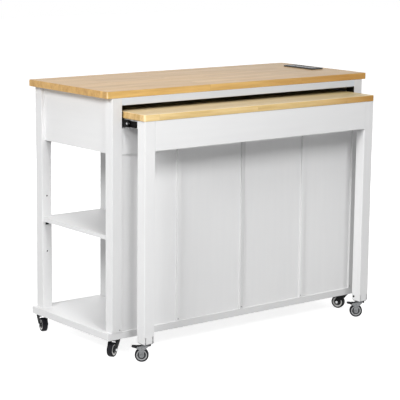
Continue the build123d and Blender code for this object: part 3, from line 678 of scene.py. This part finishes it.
def pressed_fork(name, half, low, high, feet, shoulder):
    """The start of a fork: a sheet over the wheel and down both sides, tapered towards the feet.

    Low and high are the X and Z of the sheet's corners, and feet the X of its two lower corners."""
    piece = new_block(name, (low[0], -half, low[1]), (high[0], half, high[1]))
    open_mesh(piece)
    pick("FACE", lambda face: looks(face, "z", -1) or looks(face, "x"))
    bpy.ops.mesh.delete(type="FACE")
    for x, foot in ((high[0], feet[1]), (low[0], feet[0])):
        pick_corners(x, low[1])
        shift_picked(x=foot - x)
    pick("EDGE", lambda edge: lies_at(edge, "z", high[1]) and is_level(edge, "y"))
    round_picked(shoulder, steps=5)
    return piece


def round_corner(x, z, reach, steps):
    """Rounds the corners of the open sheet at this X and Z, on both sides."""
    pick_corners(x, z, 0.0004)
    bpy.ops.mesh.bevel(offset=reach, segments=steps, affect="VERTICES")


def thicken(piece):
    """Gives the open sheet its thickness, inwards, and eases its edges."""
    bpy.ops.mesh.select_all(action="SELECT")
    bpy.ops.mesh.remove_doubles(threshold=0.0003)
    close_mesh()
    modify(piece, "SOLIDIFY", thickness=SHEET, offset=-1.0, use_even_offset=True)
    ease_edges(piece, 0.0005)


def race(name, bottom):
    """The swivel's bearing race on the fork, with a groove round it."""
    piece = new_round(name, RACE_RADIUS, RACE_HEIGHT, (0, 0, bottom + RACE_HEIGHT / 2), "Z", sides=60)
    open_mesh(piece)
    pick("FACE", lambda face: not looks(face, "z"))
    sink_picked(margin=0.0010, wall=0.0004, depth=0.0006)
    pick("FACE", lambda face: looks(face, "z", 1))
    sink_picked(margin=0.0016, wall=0.0006, depth=0.0005)
    close_mesh()
    ease_edges(piece, 0.0003)
    return piece


def rivet(name, x, z, half, head, proud, shank):
    """A riveted pin through both arms of a fork, with a dimpled head on each side."""
    pin = new_round(name, shank, 2 * half, (x, 0, z), "Y", sides=32)
    heads = new_round(name + "_heads", head, 2 * (half + proud), (x, 0, z), "Y", sides=40)
    open_mesh(heads)
    for side in (-1, 1):
        bpy.ops.mesh.select_all(action="SELECT")
        bpy.ops.mesh.bisect(plane_co=(0, side * half, 0), plane_no=(0, 1, 0))
    pick("FACE", lambda face: not looks(face, "y") and abs(face.calc_center_median().y) < half)
    bpy.ops.mesh.delete(type="FACE")
    bpy.ops.mesh.select_mode(type="EDGE")
    bpy.ops.mesh.select_all(action="DESELECT")
    bpy.ops.mesh.select_non_manifold()
    bpy.ops.mesh.edge_face_add()
    pick("FACE", lambda face: abs(face.calc_center_median().y) > half + proud - NEAR)
    sink_picked(margin=0.3 * head, wall=0.12 * head, depth=0.3 * proud)
    close_mesh()
    ease_edges(heads, 0.3 * proud, steps=3)
    return smooth(join(name, pin, heads))


def wheel_axle(name, wheel, half):
    """A wheel's axle through a fork of this half width."""
    return rivet(name, wheel["trail"], wheel["radius"], half, head=0.005, proud=0.002, shank=AXLE_RADIUS)


def main_fork():
    """The cabinet caster's broad black fork."""
    foot = 0.018
    front, rear = 0.0179, 0.0300
    low, high = (-0.015, foot), (0.021, MAIN_FORK_TOP)
    piece = pressed_fork("main_fork", MAIN_FORK_HALF, low, high, (front, rear), shoulder=0.0045)
    round_corner(rear, foot, reach=0.0088, steps=9)
    round_corner(front, foot, reach=0.0031, steps=4)
    thicken(piece)
    return smooth(join("main_fork", piece, race("main_race", MAIN_FORK_TOP)), black_steel)


def leaf_fork():
    """The table caster's zinc fork: narrow arms with wings at the top, one of them the brake's lug."""
    arm_top, arm_foot = 0.041, 0.0155
    front, rear = 0.0045, 0.0215
    wing = 0.015
    shoulder = 0.004
    margin = 0.0005
    lug_x, lug_z = 0.0339, 0.0535
    low, high = (-wing, arm_top), (wing, LEAF_FORK_TOP)
    piece = pressed_fork("leaf_fork", LEAF_FORK_HALF, low, high, (front, rear), shoulder)
    pick("EDGE", lambda edge: lies_at(edge, "z", arm_top))
    bpy.ops.mesh.extrude_region_move(TRANSFORM_OT_translate={"value": (0, 0, arm_foot - arm_top)})

    def rear_edge(edge):
        bottom, top = sorted(corner.co.z for corner in edge.verts)
        above_arm = abs(bottom - arm_top) < NEAR and top > arm_top + margin
        return above_arm and all(corner.co.x > wing - NEAR for corner in edge.verts)

    def halfway(corner):
        across = wing + margin < corner.co.x < rear - margin
        return across and arm_top + margin < corner.co.z < LEAF_FORK_TOP - shoulder - margin

    pick("EDGE", rear_edge)
    bpy.ops.mesh.subdivide(number_cuts=1)
    pick("VERT", halfway)
    tip = [corner.co.copy() for corner in bmesh.from_edit_mesh(piece.data).verts if corner.select][0]
    shift_picked(x=lug_x - tip.x, z=lug_z - tip.z)
    round_corner(lug_x, lug_z, reach=0.0075, steps=7)
    for x in (front, rear):
        round_corner(x, arm_foot, reach=0.0083, steps=8)
    thicken(piece)
    return smooth(join("leaf_fork", piece, race("leaf_race", LEAF_FORK_TOP)), dull_zinc)


def brake_pedal():
    """A black pedal: a rocker on the fork's bar, with a hooked root and a ribbed pad outside the fork."""
    width = 0.018
    root_x = 0.0345
    shoe_z = 0.0473
    rocker = new_round("brake_pedal", 0.0042, width, (BRAKE_BAR_X, 0, BRAKE_BAR_Z), "Y", sides=40)
    root = new_round("pedal_root", 0.003, width, (root_x, 0, BRAKE_BAR_Z), "Y", sides=32)
    shoe = new_round("pedal_shoe", 0.0016, width, (BRAKE_BAR_X, 0, shoe_z), "Y", sides=24)
    rocker = join("brake_pedal", rocker, root, shoe)
    open_mesh(rocker)
    bpy.ops.mesh.select_all(action="SELECT")
    bpy.ops.mesh.convex_hull()
    close_mesh()
    ease_edges(rocker, 0.0005)

    tip = 0.048
    pad_half = 0.012
    pad = new_block("pedal_pad", (0.0325, -pad_half, 0.0493), (tip, pad_half, 0.0550))
    open_mesh(pad)
    pick("FACE", lambda face: looks(face, "x", 1))
    bpy.ops.transform.resize(value=(1, 1, 0.46), center_override=(tip, 0, 0.0558))
    pick("EDGE", lambda edge: lies_at(edge, "x", tip) and is_level(edge, "y"))
    round_picked(0.005, steps=5)
    pick("FACE", lambda face: looks(face, "z", 1))
    sink_picked(margin=0.0016, wall=0.0004, depth=0.0008)
    close_mesh()
    ease_edges(pad, 0.0006)

    rib_top = 0.0546
    rib_half = 0.0095
    rib = new_block("pedal_rib", (0.0358, -rib_half, 0.0535), (0.0366, rib_half, rib_top))
    open_mesh(rib)
    pick("FACE", lambda face: looks(face, "z", 1))
    bpy.ops.transform.resize(value=(0.6, 0.98, 1), center_override=(0.0362, 0, rib_top))
    close_mesh()
    pitch = 0.0026
    ribs = [copy_to(rib, f"pedal_rib_{step}", (pitch * step, 0, 0)) for step in (1, 2, 3)]
    return smooth(join("brake_pedal", rocker, pad, rib, *ribs), brake_plastic)


def swivel_stop():
    """A black bumper clipped on the front edge of the table caster's fork."""
    front, back = -0.0185, -0.0138
    bottom, top = 0.0545, 0.0600
    half = 0.011
    piece = new_block("swivel_stop", (front, -half, bottom), (back, half, top))
    open_mesh(piece)
    pick("FACE", lambda face: looks(face, "x", -1))
    bpy.ops.transform.resize(value=(1, 0.72, 0.6), center_override=(front, 0, top))
    pick("EDGE", lambda edge: lies_at(edge, "x", front))
    round_picked(0.0014, steps=3)
    close_mesh()
    ease_edges(piece, 0.0004)
    return smooth(piece, brake_plastic)


def stand_casters():
    """Models the pieces of both kinds of caster once and copies them to their places."""
    main = {
        "tyre": tyre("main_tyre", **MAIN_WHEEL),
        "hub": hub("main_hub", **MAIN_WHEEL, boss_half=0.013, ring=pale_ring, ring_width=0.0048),
        "fork": main_fork(),
        "axle": smooth(wheel_axle("main_axle", MAIN_WHEEL, MAIN_FORK_HALF), bright_zinc),
    }
    axle = wheel_axle("leaf_axle", LEAF_WHEEL, LEAF_FORK_HALF)
    bar = rivet(
        "brake_bar", BRAKE_BAR_X, BRAKE_BAR_Z, LEAF_FORK_HALF, head=0.0032, proud=0.0008, shank=0.0018
    )
    leaf = {
        "tyre": tyre("leaf_tyre", **LEAF_WHEEL),
        "hub": hub("leaf_hub", **LEAF_WHEEL, boss_half=0.009, ring=grey_ring, ring_width=0.0034),
        "fork": leaf_fork(),
        "axle": smooth(join("leaf_axle", axle, bar), dull_zinc),
        "stop": swivel_stop(),
        "pedal": brake_pedal(),
    }
    fork_slots = {"main": "black_steel", "leaf": "zinc_steel"}
    for kind, patterns, casters in (("main", main, MAIN_CASTERS), ("leaf", leaf, LEAF_CASTERS)):
        for caster, (x, y, turned) in casters.items():
            wheel_node = f"caster_wheel_{caster}"
            fork_node = f"caster_fork_{caster}"
            made = {}
            for part, pattern in patterns.items():
                made[part] = copy_to(pattern, f"{part}_{caster}", (x, y, 0), (0, 0, turned))
            finished(made["tyre"], f"wheel_{caster}", "tyre_rubber", wheel_node)
            finished(made["hub"], f"wheel_{caster}", "zinc_steel", wheel_node)
            finished(made["fork"], f"swivel_{caster}", fork_slots[kind], fork_node)
            finished(made["axle"], f"swivel_{caster}", "zinc_steel", fork_node)
            if kind == "leaf":
                finished(made["stop"], f"swivel_{caster}", "brake_plastic")
                finished(made["pedal"], f"brake_{caster}", "brake_plastic", f"brake_pedal_{caster}")
        put_away(*patterns.values())


stand_casters()


# Screws, each kind modelled once with its head on z = 0 looking along +Z
def screw(name, radius, height, finish):
    """A pan head with a cross recess."""
    piece = new_round(name, radius, height, (0, 0, height / 2), "Z", sides=32)
    open_mesh(piece)
    pick("EDGE", lambda edge: lies_at(edge, "z", height))
    round_picked(0.55 * height, steps=4)
    close_mesh()
    reach = 0.6 * radius
    half = 0.14 * radius
    arms = []
    for across in (False, True):
        sides = (half, reach) if across else (reach, half)
        arm = new_block(f"{name}_arm_{across}", (-sides[0], -sides[1], 0.45 * height), (*sides, 2 * height))
        open_mesh(arm)
        pick("FACE", lambda face: looks(face, "z", -1))
        bpy.ops.transform.resize(value=(0.75, 0.75, 1))
        close_mesh()
        arms.append(arm)
    cut_away(piece, *arms)
    return smooth(piece, finish)


def set_screws(name, pattern, places, turn):
    """Copies of a screw at these places, turned to look out of their surface, as one piece."""
    copies = [copy_to(pattern, f"{name}_{i}", place, turn) for i, place in enumerate(places)]
    return join(name, *copies)


def plate_screws(casters, reach, under_side):
    """The places of the four screws in each caster's plate."""
    corners = [(a * reach, b * reach) for a in (-1, 1) for b in (-1, 1)]
    return [(x + a, y + b, under_side) for x, y, _ in casters.values() for a, b in corners]


def set_all_screws():
    """The screw heads of the cabinet and the table, and the slides' rivets."""
    pan = screw("pan_screw", radius=0.0035, height=0.0015, finish=bright_zinc)
    slide = screw("slide_screw", radius=0.0035, height=0.0012, finish=bright_zinc)
    foot = screw("foot_screw", radius=0.0026, height=0.0040, finish=black_steel)
    cap = screw("capped_foot_screw", radius=0.0042, height=0.0016, finish=black_steel)
    down, left, right, near = (180, 0, 0), (0, -90, 0), (0, 90, 0), (90, 0, 0)
    places = plate_screws(MAIN_CASTERS, reach=0.016, under_side=0.0605)
    made = set_screws("caster_screw_heads", pan, places, down)
    finished(made, "cabinet", "zinc_steel", "caster_screws_main")

    slide_x, runner_x, leg_x = 0.5275, 0.5362, 0.4863
    slide_ys = (-0.216, -0.086, 0.044)
    leg_y, leg_z = -0.276, 0.08
    places = plate_screws(LEAF_CASTERS, reach=0.014, under_side=0.0635)
    table = [
        set_screws("table_plate_screws", pan, places, down),
        set_screws("slide_screws_left", slide, [(-slide_x, y, SLIDE_HEIGHT) for y in slide_ys], left),
        set_screws("slide_screws_right", slide, [(slide_x, y, SLIDE_HEIGHT) for y in slide_ys], right),
        set_screws("table_foot_screw_left", cap, [(-leg_x, leg_y, leg_z)], right),
        set_screws("table_foot_screw_right", cap, [(leg_x, leg_y, leg_z)], left),
    ]
    finished(join("table_screw_heads", *table), "leaf", "zinc_steel", "leaf_screws")
    runners = [
        set_screws("runner_rivet_left", slide, [(-runner_x, slide_ys[0], SLIDE_HEIGHT)], left),
        set_screws("runner_rivet_right", slide, [(runner_x, slide_ys[0], SLIDE_HEIGHT)], right),
    ]
    finished(join("runner_rivets", *runners), "slide_middle", "zinc_steel")

    foot_z = 0.095
    feet = [(x, -0.184, foot_z) for x in (-0.292, 0, 0.292)]
    feet += [(x, -0.186, foot_z) for x in (-0.547, 0.547)]
    made = set_screws("cabinet_foot_screws", foot, feet, near)
    finished(made, "cabinet", "black_steel", "cabinet_screws")
    put_away(pan, slide, foot, cap)


set_all_screws()

# Power outlet, let into the worktop near its right end
OUTLET_X = 0.53
OUTLET_Y = 0.0865
OUTLET_TOP = WORKTOP_HEIGHT + 0.005


def rounded_pad(name, y, half_x, half_y, bottom, top, corner_reach, rim_reach):
    """A flat block on the outlet's middle line, with round corners and a soft upper rim, left open."""
    y += OUTLET_Y
    piece = new_block(name, (OUTLET_X - half_x, y - half_y, bottom), (OUTLET_X + half_x, y + half_y, top))
    open_mesh(piece)
    pick("EDGE", lambda edge: not is_level(edge, "z"))
    round_picked(corner_reach, steps=6)
    pick("EDGE", lambda edge: lies_at(edge, "z", top))
    round_picked(rim_reach, steps=3)
    return piece


def insert_pad(name, y, half_y):
    """An insert that stands in the outlet's sunk field."""
    bottom, top = WORKTOP_HEIGHT + 0.002, WORKTOP_HEIGHT + 0.0045
    piece = rounded_pad(
        name, y, half_x=0.019, half_y=half_y, bottom=bottom, top=top, corner_reach=0.004, rim_reach=0.0005
    )
    close_mesh()
    return piece


def slot_pair(x, y, half_x, half_y):
    """Cutters for two slots in an insert, at this X to either side of its middle."""
    y += OUTLET_Y
    low, high = WORKTOP_HEIGHT, WORKTOP_HEIGHT + 0.01
    return [
        new_block("slot_cutter", (middle - half_x, y - half_y, low), (middle + half_x, y + half_y, high))
        for middle in (OUTLET_X - x, OUTLET_X + x)
    ]


def power_outlet():
    """A black frame round a sunk field, with two earthed sockets and two charging ports."""
    frame_plate = rounded_pad(
        "outlet_frame",
        y=0,
        half_x=0.03,
        half_y=0.0835,
        bottom=WORKTOP_HEIGHT - 0.002,
        top=OUTLET_TOP,
        corner_reach=0.006,
        rim_reach=0.0015,
    )
    pick("FACE", lambda face: looks(face, "z", 1))
    sink_picked(margin=0.003, wall=0.0006, depth=0.0014)
    close_mesh()
    smooth(frame_plate, outlet_plastic)
    inserts = []
    for socket_y in (-0.0525, 0.0525):
        insert = insert_pad(f"socket_{len(inserts)}", socket_y, half_y=0.0205)
        earth_place = (OUTLET_X, OUTLET_Y + socket_y - 0.011, OUTLET_TOP)
        earth = new_round("earth_cutter", 0.0026, 0.01, earth_place, "Z", sides=24)
        blades = slot_pair(0.00635, socket_y, half_x=0.0012, half_y=0.00425)
        cut_away(insert, *blades, earth)
        inserts.append(insert)
    charger = insert_pad("charger_insert", 0, half_y=0.012)
    cut_away(charger, *slot_pair(0.01, 0, half_x=0.0014, half_y=0.0044))
    made = smooth(join("outlet_inserts", *inserts, charger), outlet_insert)
    finished(frame_plate, "cabinet", "outlet_plastic", "outlet_faceplate")
    finished(made, "cabinet", "outlet_plastic", "outlet_faceplate")


power_outlet()


# Floor, world, lights and camera
def seen_rays(tree):
    """One for rays from the eye, a mirror or glass, and nought for those that only carry light."""
    rays = tree.nodes.new("ShaderNodeLightPath")
    seen = maths(tree, "MAXIMUM", rays.outputs["Is Camera Ray"], rays.outputs["Is Glossy Ray"])
    return maths(tree, "MAXIMUM", seen, rays.outputs["Is Transmission Ray"])


def studio_floor():
    """A plain pale floor that shows white and keeps the shadow."""
    bpy.ops.mesh.primitive_plane_add(size=30, location=(0, 0, 0))
    floor = bpy.context.object
    floor.name = "studio_floor"
    finish, tree, shader, place = start_finish("pale_floor")
    shader.inputs["Base Color"].default_value = (0.6, 0.6, 0.6, 1)
    shader.inputs["Roughness"].default_value = 0.9
    away = tree.nodes.new("ShaderNodeVectorMath")
    away.operation = "LENGTH"
    tree.links.new(place, away.inputs[0])
    white = spread(tree, away.outputs["Value"], low=0.8, high=1.0, start=0.9, end=2.6)
    glow = tree.nodes.new("ShaderNodeEmission")
    tree.links.new(maths(tree, "MULTIPLY", seen_rays(tree), white), glow.inputs["Strength"])
    both = tree.nodes.new("ShaderNodeAddShader")
    tree.links.new(shader.outputs["BSDF"], both.inputs[0])
    tree.links.new(glow.outputs["Emission"], both.inputs[1])
    tree.links.new(both.outputs["Shader"], tree.nodes["Material Output"].inputs["Surface"])
    floor.data.materials.append(finish)


def white_world(ambient):
    """White to the eye and in reflections, a soft ambient light otherwise."""
    world = bpy.data.worlds.new("white_studio")
    bpy.context.scene.world = world
    world.use_nodes = True
    tree = world.node_tree
    sky = tree.nodes["Background"]
    sky.inputs["Color"].default_value = (1, 1, 1, 1)
    strength = spread(tree, seen_rays(tree), low=ambient, high=1.0, start=0.0, end=1.0)
    tree.links.new(strength, sky.inputs["Strength"])


def softbox(name, place, size, power):
    """A square lamp that looks at the island's middle and isn't mirrored in what it lights."""
    lamp = bpy.data.lights.new(name, "AREA")
    lamp.shape = "SQUARE"
    lamp.size = size
    lamp.energy = power
    holder = bpy.data.objects.new(name, lamp)
    holder.location = place
    aim = Vector((0, 0, 0.5)) - Vector(place)
    holder.rotation_euler = aim.to_track_quat("-Z", "Y").to_euler()
    holder.visible_glossy = False
    bpy.context.scene.collection.objects.link(holder)


studio_floor()
white_world(ambient=0.12)
softbox("front_key", (-1.1, -3.2, 2.95), size=1.3, power=90)
softbox("left_fill", (-3.3, -1.2, 2.55), size=1.1, power=92)
softbox("far_fill", (2.2, 3.5, 1.7), size=2.6, power=110)

# The camera's place and turns, fitted to the edges in the photo
CAMERA_PLACE = (-3.5092, -4.3344, 1.4931)
YAW = -0.6739
PITCH = 0.1827
ROLL = 0.0107
camera = bpy.data.objects.new("photo_camera", bpy.data.cameras.new("photo_camera"))
camera.data.lens = 137.67
camera.data.sensor_width = 36.0
camera.data.clip_end = 100.0
camera.matrix_world = (
    Matrix.Translation(CAMERA_PLACE)
    @ Matrix.Rotation(YAW, 4, "Z")
    @ Matrix.Rotation(pi / 2 - PITCH, 4, "X")
    @ Matrix.Rotation(ROLL, 4, "Z")
)
bpy.context.scene.collection.objects.link(camera)
bpy.context.scene.camera = camera
bpy.context.scene.view_settings.view_transform = "Standard"
